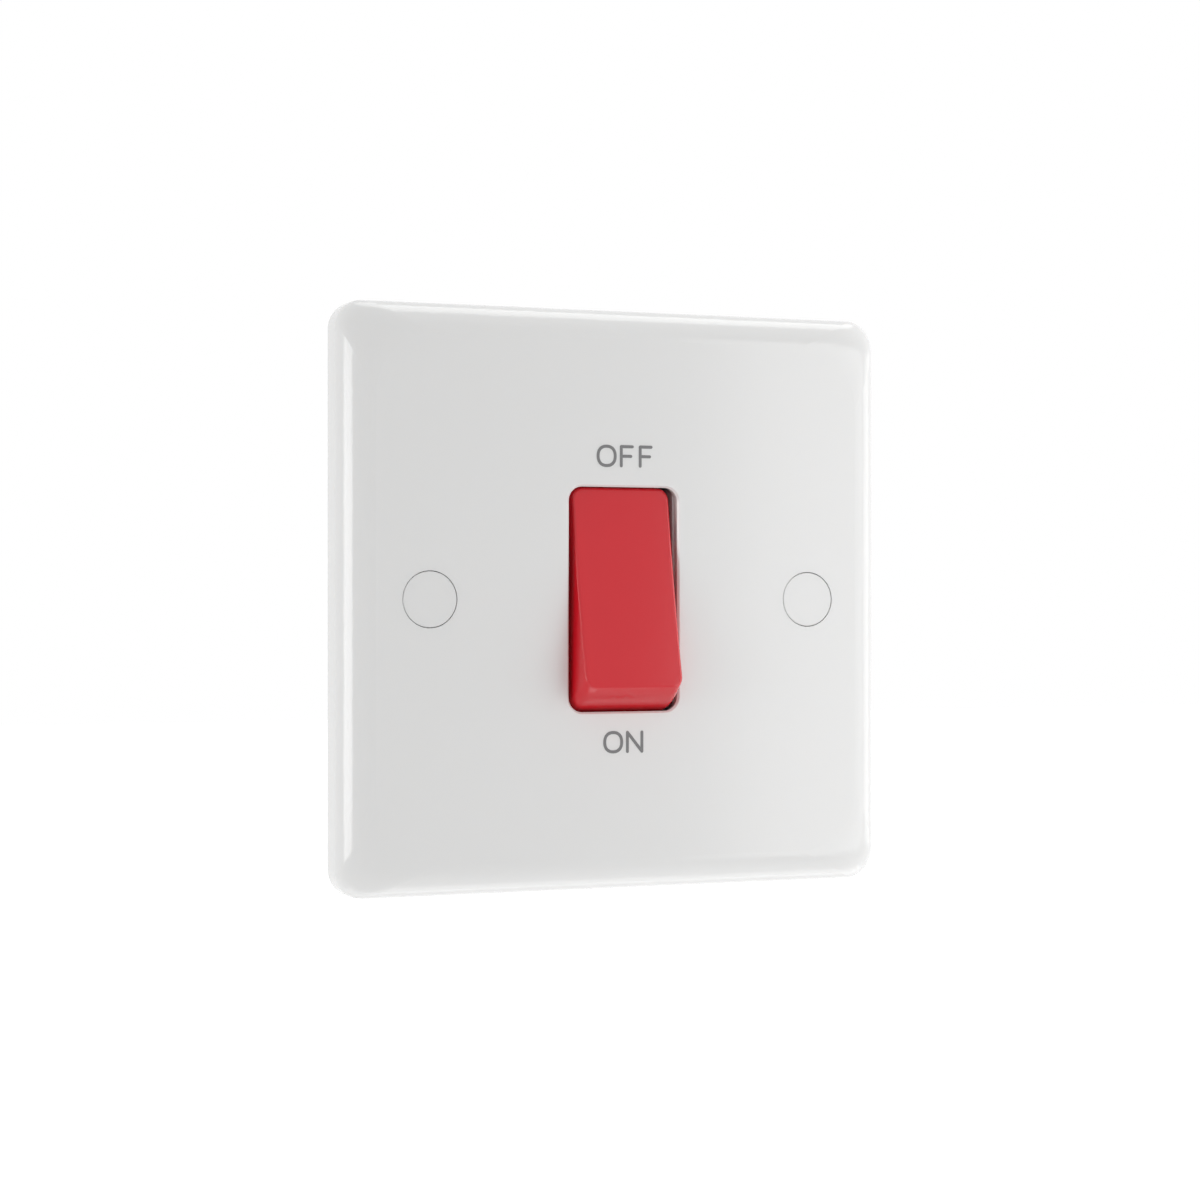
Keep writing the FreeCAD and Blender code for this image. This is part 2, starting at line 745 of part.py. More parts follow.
def moving_contact(name, side):
    body = contact_rivet(f"moving_contact_{name}", s.moving_contact_radius, s.moving_contact_height,
                         s.moving_contact_dome)
    slope = s.arm_bend + arm_swing
    y = hinge_y - s.contact_offset * sine(slope)
    z = s.contact_offset * cosine(slope)
    return place(body, pole_x * side, y, z, slope)


def fixed_contact(name, side):
    body = new_body(f"fixed_contact_{name}")
    disc = front_sketch(body, f"fixed_disc_{name}")
    add_circle(disc, 0, 0, s.fixed_contact_radius)
    pad(disc, s.fixed_contact_height, towards_back=True)
    return place(body, pole_x * side, fixed_contact_y, closed_contact_z)


# Straps and terminals
def strap_outline(sketch, side, row, near_end):
    """An L: along the pole to the terminal, then widened over the terminal block."""
    inner, outer = pole_x - s.strap_width / 2, pole_x + s.strap_width / 2
    far_x = terminal_x + s.terminal_width / 2 - s.strap_end_gap
    knee = s.terminal_inner_edge + s.strap_end_gap
    end = s.terminal_inner_edge + s.terminal_height - s.strap_end_gap
    step_x = terminal_x - s.terminal_width / 2 + s.strap_end_gap
    add_outline(sketch, [(x * side, z * row) for x, z in (
        (inner, near_end), (outer, near_end), (outer, knee), (far_x, knee),
        (far_x, end), (step_x, end), (step_x, knee + s.strap_width), (inner, knee + s.strap_width))])


def strap(label, side, row, near_end):
    body = new_body(label)
    outline = front_sketch(body, f"{label}_outline", strap_front_y)
    strap_outline(outline, side, row, near_end)
    pad(outline, s.strap_thickness, towards_back=True)
    hole = front_sketch(body, f"{label}_rivet_hole", strap_front_y)
    add_circle(hole, terminal_x * side, terminal_mid_z * row, s.rivet_diameter / 2 + s.rivet_gap)
    pocket(hole, s.strap_thickness)
    return body


def supply_strap(name, side):
    """The lower strap; its folded-up fulcrum carries the see-saw arm in a rounded seat."""
    label = f"supply_strap_{name}"
    body = strap(label, side, ROW_SIDES["supply"], -s.fulcrum_thickness / 2)
    half = s.fulcrum_thickness / 2
    fulcrum = side_sketch(body, f"{label}_fulcrum", (pole_x - s.strap_width / 2) * side)
    add_box_outline(fulcrum, hinge_y + s.fulcrum_lip_gap, -half, strap_front_y, half)
    pad(fulcrum, s.strap_width, towards_back=side < 0)
    seat = side_sketch(body, f"{label}_seat", pole_x * side)
    add_circle(seat, hinge_y, 0, s.arm_rib_radius + s.fulcrum_gap)
    pocket(seat, 2 * s.strap_width, both_ways=True)
    return body


def load_strap(name, side):
    near_end = closed_contact_z - s.fixed_contact_radius - s.strap_end_gap
    return strap(f"load_strap_{name}", side, ROW_SIDES["load"], near_end)


def pillar_terminal(label, width, length, bore, front_wall, rear_wall, thread, stem):
    """A drilled brass block: bore along Z, clamp screw thread from the back, riveting stem in front."""
    body = new_body(label)
    front = -bore / 2 - front_wall
    block = top_sketch(body, f"{label}_block")
    add_box_outline(block, -width / 2, front, width / 2, bore / 2 + rear_wall)
    pad(block, length, both_ways=True)
    dress(body, "Chamfer", s.terminal_bevel, lambda edge: near(edge.BoundBox.ZLength, length))
    rivet = front_sketch(body, f"{label}_stem", front)
    add_circle(rivet, 0, 0, s.rivet_diameter / 2)
    pad(rivet, stem)
    wire_bore = top_sketch(body, f"{label}_bore")
    add_circle(wire_bore, 0, 0, bore / 2)
    pocket(wire_bore, 2 * length, both_ways=True)
    tapped = front_sketch(body, f"{label}_thread")
    add_circle(tapped, 0, 0, thread / 2)
    pocket(tapped, bore / 2 + rear_wall)
    return body


def mains_terminal(pole, side, row_name, row):
    body = pillar_terminal(f"{pole}_{row_name}_terminal", s.terminal_width, s.terminal_height, s.terminal_bore,
                           s.terminal_front_wall, s.terminal_rear_wall, s.screw_diameter, s.strap_thickness)
    return place(body, terminal_x * side, terminal_bore_y, terminal_mid_z * row)


def slotted_screw(label, shank, shank_length, head, head_height):
    """A cheese-head screw along Y: shank to the front of the origin, slotted head behind it."""
    body = new_body(label)
    shank_disc = front_sketch(body, f"{label}_shank")
    add_circle(shank_disc, 0, 0, shank / 2)
    pad(shank_disc, shank_length)
    head_disc = front_sketch(body, f"{label}_head")
    add_circle(head_disc, 0, 0, head / 2)
    pad(head_disc, head_height, towards_back=True)
    slot = front_sketch(body, f"{label}_slot", head_height)
    add_box_outline(slot, -head, -s.slot_width / 2, head, s.slot_width / 2)
    pocket(slot, s.slot_depth, towards_front=True)
    head_size = head_height.number

    def rims(edge):
        return edge_at_depth(head_size)(edge) and edge.Curve.TypeId == "Part::GeomCircle"
    dress(body, "Chamfer", s.screw_bevel, rims)
    return body


def terminal_screw(pole, side, row_name, row):
    """The clamp screw, backed out so that its tip is flush with the bore."""
    shank = s.screw_diameter - 2 * s.screw_gap
    body = slotted_screw(f"{pole}_{row_name}_screw", shank, s.terminal_rear_wall + s.screw_lift - s.screw_gap,
                         s.screw_head_diameter, s.screw_head_height)
    return place(body, terminal_x * side, terminal_back_y + s.screw_lift, terminal_mid_z * row)


def earth_terminal(name, row):
    body = pillar_terminal(f"earth_terminal_{name}", s.earth_width, s.earth_length, s.earth_bore,
                           s.earth_wall, s.earth_rear_wall, s.earth_screw,
                           s.earth_strip_thickness + s.ledge_thickness)
    return place(body, earth_x, earth_bore_y, earth_z * row)


def earth_screw(name, row):
    shank = s.earth_screw - 2 * s.screw_gap
    body = slotted_screw(f"earth_screw_{name}", shank, s.earth_rear_wall + s.screw_lift - s.screw_gap,
                         s.earth_head, s.earth_head_height)
    return place(body, earth_x, earth_back_y + s.screw_lift, earth_z * row)


def earth_link():
    """The flat strip under the two earth terminals that joins them."""
    body = new_body("earth_link")
    outline = front_sketch(body, "earth_link_outline", ledge_back_y)
    half_length = earth_z + s.earth_length / 2
    half_width = s.earth_strip_width / 2
    add_box_outline(outline, earth_x - half_width, -half_length, earth_x + half_width, half_length)
    pad(outline, s.earth_strip_thickness, towards_back=True)
    holes = front_sketch(body, "earth_link_holes", ledge_back_y)
    for row in (-1, 1):
        add_circle(holes, earth_x, earth_z * row, s.rivet_diameter / 2 + s.rivet_gap)
    pocket(holes, s.earth_strip_thickness)
    return body


# Base housing
def base_housing():
    """The dark rear moulding: two terminal towers joined by the floor under the contacts."""
    body = new_body("base_housing")
    half_width, half_height = base_half_width, base_half_height
    outer = front_sketch(body, "base_outline", split_y)
    add_rounded_outline(outer, half_width, half_height, s.base_corner)
    pad(outer, base_back_y - split_y, towards_back=True)

    recess = front_sketch(body, "base_rear_recess", base_back_y)
    tower_edge = s.terminal_inner_edge - s.pocket_gap - s.tower_inner_wall
    add_box_outline(recess, -2 * half_width, -tower_edge, 2 * half_width, tower_edge)
    pocket(recess, base_back_y - floor_back_y, towards_front=True)
    dress(body, "Fillet", s.base_edge, edge_at_depth(base_back_y))

    ledges = front_sketch(body, "base_ledges", split_y)
    inner_x = half_width - s.base_corner
    outer_x = ledge_outer_x
    ledge_end = half_height - s.ledge_inset
    add_box_outline(ledges, inner_x, -ledge_end, outer_x, ledge_end)
    for row in (-1, 1):
        near_z = ledge_end * row
        far_z = (ledge_end - s.ledge_length) * row
        add_outline(ledges, [(-outer_x, near_z), (-outer_x, far_z), (-inner_x, far_z), (-inner_x, near_z)])
    pad(ledges, s.ledge_thickness, towards_back=True)
    dress(body, "Fillet", s.base_corner, lambda edge: (
        near(edge.BoundBox.YLength, s.ledge_thickness)
        and near(abs(edge.BoundBox.XMin), outer_x) and near(abs(edge.BoundBox.XMax), outer_x)))

    chamber = front_sketch(body, "rocker_chamber", split_y)
    add_box_outline(chamber, -well_half_width, -well_half_height, well_half_width, well_half_height)
    pocket(chamber, strap_back_y - split_y)

    side_pockets = front_sketch(body, "side_pockets", split_y)
    pocket_inner = well_half_width + s.chamber_wall
    pocket_outer = half_width - s.base_side_wall
    pocket_end = tower_edge - s.base_side_wall
    for side in (-1, 1):
        add_outline(side_pockets, [
            (pocket_inner * side, -pocket_end), (pocket_outer * side, -pocket_end),
            (pocket_outer * side, pocket_end), (pocket_inner * side, pocket_end)])
    pocket(side_pockets, strap_back_y - split_y)

    terminals = front_sketch(body, "terminal_pockets", split_y)
    gap = s.pocket_gap
    stop_inner = s.terminal_inner_edge - s.tower_inner_wall
    for side in (-1, 1):
        for row in (-1, 1):
            x, z = terminal_x * side, terminal_mid_z * row
            add_box_outline(terminals, x - s.terminal_width / 2 - gap, z - s.terminal_height / 2 - gap,
                            x + s.terminal_width / 2 + gap, z + s.terminal_height / 2 + gap)
    pocket(terminals, terminal_back_y + gap - split_y)

    channels = front_sketch(body, "strap_channels", split_y)
    channel_inner = pole_x - s.strap_width / 2 - gap
    channel_end = s.terminal_inner_edge + s.strap_end_gap + s.strap_width + gap
    for side in (-1, 1):
        for row in (-1, 1):
            add_outline(channels, [
                (channel_inner * side, stop_inner * row), (terminal_x * side, stop_inner * row),
                (terminal_x * side, channel_end * row), (channel_inner * side, channel_end * row)])
    pocket(channels, strap_back_y - split_y)

    barrier = front_sketch(body, "pole_barrier", strap_back_y)
    add_box_outline(barrier, -s.barrier_thickness / 2, -well_half_height,
                    s.barrier_thickness / 2, well_half_height)
    pad(barrier, strap_back_y - s.barrier_front)

    stops = side_sketch(body, "rocker_stops")
    lean = tangent(s.rocker_tilt)
    skirt_half = third_side(end_radius, s.rocker_skirt_rise)
    stop_y = (pivot_y + skirt_half * sine(s.rocker_tilt) - s.rocker_skirt_rise * cosine(s.rocker_tilt)
              + s.stop_gap)
    stop_z = skirt_half * cosine(s.rocker_tilt) + s.rocker_skirt_rise * sine(s.rocker_tilt)
    for row in (-1, 1):
        add_outline(stops, [
            (stop_y - (stop_z - stop_inner) * lean, stop_inner * row),
            (stop_y + (well_half_height - stop_z) * lean, well_half_height * row),
            (strap_back_y, well_half_height * row), (strap_back_y, stop_inner * row)])
    pad(stops, s.barrier_thickness, both_ways=True)

    seat = side_sketch(body, "base_trunnion_seats")
    add_circle(seat, pivot_y, 0, trunnion_seat_radius)
    pocket(seat, 2 * (well_half_width + s.chamber_wall), both_ways=True)

    access = front_sketch(body, "screw_access", base_back_y)
    for row in (-1, 1):
        wires = top_sketch(body, f"wire_entries_{'upper' if row > 0 else 'lower'}", half_height * row)
        for side in (-1, 1):
            add_circle(wires, terminal_x * side, terminal_bore_y, s.wire_hole / 2)
            add_circle(access, terminal_x * side, terminal_mid_z * row, s.access_hole / 2)
        pocket(wires, half_height - terminal_mid_z, towards_front=row < 0)
    pocket(access, base_back_y - terminal_back_y, towards_front=True)

    fixings = front_sketch(body, "assembly_clearance", split_y)
    for side in (-1, 1):
        for row in (-1, 1):
            add_circle(fixings, assembly_x * side, assembly_z * row, s.assembly_shank / 2 + s.screw_gap)
    for row in (-1, 1):
        add_circle(fixings, earth_x, earth_z * row, s.rivet_diameter / 2 + s.rivet_gap)
    pocket(fixings, s.ledge_thickness)
    return body


def assembly_screws():
    """Four pan-head screws from behind, through the ledges into the plate's bosses."""
    radius = s.assembly_pilot.number / 2 - s.screw_gap.number
    shank = Part.makeCylinder(radius, s.assembly_length.number, Vector(0, 0, 0), Vector(0, -1, 0))
    head = Part.makeCylinder(s.assembly_head.number / 2, s.assembly_head_height.number,
                             Vector(0, 0, 0), Vector(0, 1, 0))
    back = [edge for edge in head.Edges if near(edge.BoundBox.YMin, s.assembly_head_height)]
    head = head.makeFillet(s.assembly_head_round.number, back)
    slot_half, reach = s.slot_width.number / 2, s.assembly_head.number
    slot = Part.makeBox(reach, s.slot_depth.number, 2 * slot_half,
                        Vector(-reach / 2, s.assembly_head_height.number - s.slot_depth.number, -slot_half))
    cross = slot.copy()
    cross.rotate(Vector(0, 0, 0), Vector(0, 1, 0), 90)
    screw = shank.fuse(head).removeSplitter().cut(slot).cut(cross)
    screws = []
    for side in (-1, 1):
        for row in (-1, 1):
            one = screw.copy()
            one.translate(Vector(assembly_x.number * side, ledge_back_y.number, assembly_z.number * row))
            screws.append(one)
    group = doc.addObject("Part::Feature", "assembly_screws")
    group.Label = "assembly_screws"
    group.Shape = Part.makeCompound(screws)
    return group


# Every sub-part
parts = [front_plate(), rocker(), base_housing(), assembly_screws(), earth_link()]
for name, side in POLE_SIDES.items():
    parts += [
        screw_cap(name, side), plunger(name, side), contact_spring(name, side),
        contact_arm(name, side), moving_contact(name, side), fixed_contact(name, side),
        supply_strap(name, side), load_strap(name, side),
    ]
for pole, side in (("live", -1), ("neutral", 1)):
    for row_name, row in ROW_SIDES.items():
        parts += [mains_terminal(pole, side, row_name, row), terminal_screw(pole, side, row_name, row)]
for name, row in (("lower", -1), ("upper", 1)):
    parts += [earth_terminal(name, row), earth_screw(name, row)]
doc.recompute()

# Checks on the finished document
for item in doc.Objects:
    if "Invalid" in item.State or "Error" in item.State:
        raise RuntimeError(f"{item.Name} failed: {item.State}")
for part in parts:
    if part.Shape.isNull() or not part.Shape.isValid() or not part.Shape.Solids:
        raise RuntimeError(f"{part.Label} is not a sound solid")

# One file for each sub-part
os.makedirs("parts", exist_ok=True)
for part in parts:
    part.Shape.exportStep(f"parts/{part.Label}.step")
    print(f"{part.Label}: {len(part.Shape.Solids)} solid, {part.Shape.Volume:.1f} cubic mm")
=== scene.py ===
# %% [markdown]
# # A cooker control unit, dressed for its picture
#
# The real thing is a white moulded wall plate with one large red rocker, grey OFF and ON
# lettering and two flush screw caps, and a dark housing with brass terminals behind it.
# Its solids arrive ready made and exactly placed, so this file only adds what they lack:
# finishes, lettering, light and a camera.

import math

import bpy
import numpy as np
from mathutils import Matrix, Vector
from mathutils.geometry import delaunay_2d_cdt


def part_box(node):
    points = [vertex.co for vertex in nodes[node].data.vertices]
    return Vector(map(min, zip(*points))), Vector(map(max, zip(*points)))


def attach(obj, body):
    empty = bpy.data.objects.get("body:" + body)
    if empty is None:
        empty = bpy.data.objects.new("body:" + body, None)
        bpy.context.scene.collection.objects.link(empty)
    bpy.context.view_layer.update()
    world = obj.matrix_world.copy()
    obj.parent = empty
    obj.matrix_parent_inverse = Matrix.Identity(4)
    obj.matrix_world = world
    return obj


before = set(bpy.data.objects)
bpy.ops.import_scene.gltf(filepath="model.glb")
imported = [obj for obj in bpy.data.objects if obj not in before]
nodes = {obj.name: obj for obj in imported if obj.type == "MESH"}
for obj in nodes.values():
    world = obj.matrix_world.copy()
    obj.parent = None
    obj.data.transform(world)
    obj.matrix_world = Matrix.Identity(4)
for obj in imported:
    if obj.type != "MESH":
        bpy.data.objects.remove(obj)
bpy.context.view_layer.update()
MM = 0.001
print(len(nodes), "solids arrived")

# %% [markdown]
# ## Where the face is
#
# The lettering lies on the plate's face. The face could be written down as a number, but read
# off the solid it stays right if the plate changes. The unit looks towards -Y, so the face is
# the plate's lowest y.

# %% Measure the plate
lowest_corner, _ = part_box("front_plate")
face_y = lowest_corner.y
print("face of the plate at", round(face_y / MM, 2), "mm")

# %% [markdown]
# ## Writing a finish as arithmetic
#
# A moulded or machined surface varies a little from place to place, and in a material that
# variation is a graph of small nodes. Graphs are hard to read as a list of links, so a small
# class stands for one socket: adding or multiplying two of them adds the node that does it.
# The reflected forms serve sums that start with a plain number, such as 1 - mask.

# %% Arithmetic on sockets
class Field:
    """A number that varies over a surface."""

    def __init__(self, finish, socket):
        self.finish = finish
        self.socket = socket

    def __add__(self, other):
        return self.finish.maths("ADD", self, other)

    def __radd__(self, other):
        return self.finish.maths("ADD", other, self)

    def __sub__(self, other):
        return self.finish.maths("SUBTRACT", self, other)

    def __rsub__(self, other):
        return self.finish.maths("SUBTRACT", other, self)

    def __mul__(self, other):
        return self.finish.maths("MULTIPLY", self, other)

    def __rmul__(self, other):
        return self.finish.maths("MULTIPLY", other, self)


print("fields add, subtract and multiply")

# %% [markdown]
# ## One material, built node by node
#
# A finish is a material with its one shader, a Principled BSDF. Sums become Math nodes, and
# any other node comes from one method that is told its type, its settings and what to feed
# it. Patterns read the point on the object itself, so they stay put when the part moves.

# %% A finish
class Finish:
    """A material whose shader is a Principled BSDF, built up one node at a time."""

    def __init__(self, name, **constants):
        self.material = bpy.data.materials.new(name)
        self.material.use_nodes = True
        self.tree = self.material.node_tree
        self.shader = self.tree.nodes["Principled BSDF"]
        self.set(**constants)

    def node(self, kind, settings=None, output=0, **sockets):
        """Adds a node: its settings first, then the value or link of each socket.

        A socket goes by its name or, where several share a name, by its number after a _.
        """
        made = self.tree.nodes.new(kind)
        for setting, value in (settings or {}).items():
            setattr(made, setting, value)
        for socket, value in sockets.items():
            self.feed(made.inputs[int(socket[1:]) if socket[0] == "_" else socket], value)
        return Field(self, made.outputs[output])

    def feed(self, socket, value):
        """Links a field to a socket, or writes a plain value into it."""
        if isinstance(value, Field):
            self.tree.links.new(value.socket, socket)
        else:
            socket.default_value = value

    def maths(self, operation, first, second):
        return self.node("ShaderNodeMath", {"operation": operation}, _0=first, _1=second)

    def clamp(self, value):
        return self.node("ShaderNodeClamp", Value=value)

    def place(self, stretch=(1, 1, 1)):
        """The point on the object, in metres, stretched along its axes."""
        point = self.node("ShaderNodeTexCoord", output="Object")
        return self.node("ShaderNodeMapping", Vector=point, Scale=stretch)

    def noise(self, size, point=None, detail=2.0):
        """Soft random blotches from 0 to 1, about size metres across."""
        point = point or self.place()
        return self.node("ShaderNodeTexNoise", Vector=point, Scale=1 / size, Detail=detail)

    def blend(self, amount, first, second):
        """A colour between first and second.

        A Mix node has sockets for every kind of value. Those for colours are its inputs 6 and
        7 and its output 2.
        """
        settings = {"data_type": "RGBA"}
        return self.node("ShaderNodeMix", settings, output=2, _0=amount, _6=first, _7=second)

    def relief(self, height, depth):
        """A normal that follows height, a field from 0 to 1, as if it were depth metres deep."""
        return self.node("ShaderNodeBump", Height=height, Distance=depth, Strength=1.0)

    def set(self, **sockets):
        """Sets or links the shader's own sockets, named with underscores in place of spaces."""
        by_name = {socket.name.lower().replace(" ", "_"): socket for socket in self.shader.inputs}
        for name, value in sockets.items():
            self.feed(by_name[name], value)

    def done(self, **sockets):
        """Feeds the last sockets and says how large the material's graph has grown."""
        self.set(**sockets)
        print(self.material.name, "is a graph of", len(self.tree.nodes), "nodes")
        return self.material


# %% [markdown]
# ## White plate
#
# The plate is pressed from urea, a hard glossy plastic that lets a little light in. From
# close by its gloss is never quite even: the mould leaves a faint ripple, and the face has a
# very fine grain. Both are relief, because the colour of urea goes all the way through and
# clouds by less than a hundredth. The caps come from another mould and are a hair darker.

# %% Urea for the plate and its caps
WHITE = (0.80, 0.80, 0.795)


def shade(colour, share=1.0):
    """A colour cut to a share of its strength, with the fourth number that sockets want."""
    return (*(channel * share for channel in colour), 1)


def urea(name, share=1.0):
    """Glossy white: grain over ripple as relief, and a faint cloud in the colour."""
    finish = Finish(name, ior=1.55, subsurface_weight=0.3, subsurface_scale=1.2 * MM,
                    subsurface_radius=(1.0, 0.95, 0.9))
    grain = finish.noise(0.22 * MM, detail=3)
    ripple = finish.noise(12 * MM)
    cloud = finish.noise(30 * MM)
    colour = finish.blend(cloud * 0.35, shade(WHITE, share), shade(WHITE, share * 0.985))
    relief = finish.relief(grain * 0.25 + ripple, 0.012 * MM)
    return finish.done(base_color=colour, roughness=0.13 + grain * 0.05, normal=relief)


plate_finish = urea("white_urea")
cap_finish = urea("white_cap", share=0.99)

# %% [markdown]
# ## Red rocker
#
# The rocker is a softer plastic with a deep red pigment. A fine spark-eroded grain takes the
# edge off its shine, and the pigment is not stirred in perfectly, so the red clouds a little.

# %% Red plastic
RED = (0.65, 0.009, 0.019)


def red_plastic():
    """Glossy red: a fine grain in relief and shine, and a cloud in the colour."""
    finish = Finish("red_rocker", ior=1.5)
    grain = finish.noise(0.18 * MM, detail=3)
    cloud = finish.noise(4 * MM)
    colour = finish.blend(cloud * 0.5, shade(RED), shade(RED, 0.94))
    relief = finish.relief(grain, 0.004 * MM)
    return finish.done(base_color=colour, roughness=0.07 + grain * 0.06, normal=relief)


rocker_finish = red_plastic()

# %% [markdown]
# ## Dark base
#
# The housing behind the plate is a filled thermoset. Nobody sees it once it is on the wall,
# so the mould is left rough: a dull, slightly speckled dark grey.

# %% Dark moulding
def dark_moulding():
    """Dull dark grey: specks in colour and shine, and specks on broad patches as relief."""
    finish = Finish("dark_base")
    speck = finish.noise(0.4 * MM, detail=4)
    patch = finish.noise(9 * MM)
    colour = finish.blend(speck, shade((0.022, 0.022, 0.024)), shade((0.05, 0.05, 0.054)))
    relief = finish.relief(speck + patch, 0.02 * MM)
    return finish.done(base_color=colour, roughness=0.45 + speck * 0.2, normal=relief)


base_finish = dark_moulding()

# %% [markdown]
# ## Metals
#
# The terminals are milled from brass bar, and the straps and arms are rolled. Both leave long
# faint lines, which are noise stretched one way. Screws, contacts and springs are small and
# have no such direction, so their noise is left even. All metals tarnish in patches, which
# are duller in colour and in shine, and so one recipe serves them all.

# %% Metal with tool marks
EVEN = (1, 1, 1)
ALONG_X = (0.06, 1, 1)
ALONG_Z = (1, 1, 0.06)


def worked_metal(name, bright, dull, roughness, stretch=EVEN):
    """Bright metal with tool marks in relief and shine, and dull where it has tarnished."""
    finish = Finish(name, metallic=1.0)
    marks = finish.noise(0.3 * MM, finish.place(stretch), detail=3)
    tarnish = finish.clamp(finish.noise(4 * MM, detail=4) * 2 - 0.6)
    colour = finish.blend(tarnish, shade(bright), shade(dull))
    relief = finish.relief(marks, 0.008 * MM)
    rough = roughness + marks * 0.12 + tarnish * 0.1
    return finish.done(base_color=colour, roughness=rough, normal=relief)


brass_finish = worked_metal("brass", (0.80, 0.60, 0.28), (0.58, 0.40, 0.17), 0.24, ALONG_X)
screw_finish = worked_metal("turned_brass", (0.76, 0.57, 0.28), (0.52, 0.37, 0.17), 0.28)
copper_finish = worked_metal("copper", (0.86, 0.47, 0.33), (0.58, 0.28, 0.18), 0.26, ALONG_Z)
silver_finish = worked_metal("silver", (0.88, 0.87, 0.84), (0.62, 0.60, 0.56), 0.30)
zinc_finish = worked_metal("zinc_plate", (0.70, 0.69, 0.62), (0.52, 0.52, 0.50), 0.30)
wire_finish = worked_metal("spring_wire", (0.62, 0.62, 0.62), (0.42, 0.42, 0.43), 0.25)

# %% [markdown]
# ## Natural nylon
#
# The plungers are turned from undyed nylon, which is creamy and slightly waxy. A faint cloud
# in its colour and shine keeps it from looking painted.

# %% Nylon
def natural_nylon():
    """Creamy white with one cloud in its colour, shine and relief."""
    finish = Finish("natural_nylon")
    cloud = finish.noise(2 * MM, detail=3)
    colour = finish.blend(cloud, shade((0.72, 0.69, 0.60)), shade((0.66, 0.62, 0.52)))
    relief = finish.relief(cloud, 0.01 * MM)
    return finish.done(base_color=colour, roughness=0.36 + cloud * 0.12, normal=relief)


nylon_finish = natural_nylon()

# %% [markdown]
# ## Handing the finishes out
#
# The solids are named for what they are, so the start of a name picks its finish. What the
# table leaves out are the pillar terminals and their screws. Only the material slots change;
# the shapes stay as they came.

# %% Give every solid its finish
FINISHES = {
    "front_plate": plate_finish, "screw_cap": cap_finish, "rocker": rocker_finish,
    "base_housing": base_finish, "assembly_screws": zinc_finish, "plunger": nylon_finish,
    "contact_spring": wire_finish, "contact_arm": copper_finish,
    "moving_contact": silver_finish, "fixed_contact": silver_finish,
    "supply_strap": brass_finish, "load_strap": brass_finish, "earth_link": brass_finish,
    "earth_screw": screw_finish, "earth_terminal": brass_finish,
}


def finish_of(name):
    """The finish of the table's entry that the name starts with, or else of a terminal."""
    for start, finish in FINISHES.items():
        if name.startswith(start):
            return finish
    return screw_finish if name.endswith("_screw") else brass_finish


for name, solid in nodes.items():
    solid.data.materials.clear()
    solid.data.materials.append(finish_of(name))
print("finished", len(nodes), "solids")

# %% [markdown]
# ## Lettering
#
# OFF and ON are hot-foil stamped, with strokes of one width and rounded ends. A font would
# bring letters of its own, so each stroke is a ribbon carried along a path. The path's own
# points give the direction, and the ribbon is its left and right offset.

# %% Strokes with rounded ends
STROKE = 0.46
END_STEPS = 9


def ribbon(path, closed):
    """Patches that cover a path with a ribbon STROKE wide.

    Each stretch from p to q is a four-sided patch, p + n w/2, q + n w/2, q - n w/2, p - n w/2,
    with n square to the way the path goes. An open path ends in half discs, whose rim is
    p + w/2 (cos a t + sin a n) for a from 90 to -90 degrees, with t pointing away.
    """
    if closed:
        ahead = np.roll(path, -1, axis=0) - np.roll(path, 1, axis=0)
    else:
        ahead = np.gradient(path, axis=0)
    ahead /= np.linalg.norm(ahead, axis=1)[:, None]
    side = np.column_stack([-ahead[:, 1], ahead[:, 0]])
    left, right = path + side * STROKE / 2, path - side * STROKE / 2
    next_left, next_right = np.roll(left, -1, axis=0), np.roll(right, -1, axis=0)
    patches = np.stack([left, right, next_right, next_left], axis=1)
    if closed:
        return list(patches)
    angle = np.linspace(math.pi / 2, -math.pi / 2, END_STEPS)[:, None]
    tips = ((path[-1], ahead[-1], side[-1]), (path[0], -ahead[0], side[0]))
    ends = [tip + STROKE / 2 * (np.cos(angle) * way + np.sin(angle) * across)
            for tip, way, across in tips]
    return list(patches[:-1]) + ends


print("strokes are", STROKE, "mm wide")

# %% [markdown]
# ## From strokes to one film
#
# The strokes of an F or an N cross, and films that overlap would flicker against each other.
# So the strokes of a letter are first merged into one sheet, which is then given its
# thickness: the sheet twice, and a wall round its rim. Real foil is thinner than a hair. This
# film stands a fiftieth of a millimetre out of the face, just enough to stay clear of it.

# %% Merge strokes into a film
FILM = 0.02
KEEP_INSIDE = 1
SAME_SPOT = 1e-5


def covered(spots, patches):
    """Which spots lie in a patch: on one and the same side of each of its edges."""
    inside = np.zeros(len(spots), bool)
    for patch in patches:
        edge, reach = np.roll(patch, -1, axis=0) - patch, spots[:, None] - patch
        turn = edge[:, 0] * reach[..., 1] - edge[:, 1] * reach[..., 0]
        inside |= (turn >= 0).all(axis=1) | (turn <= 0).all(axis=1)
    return inside


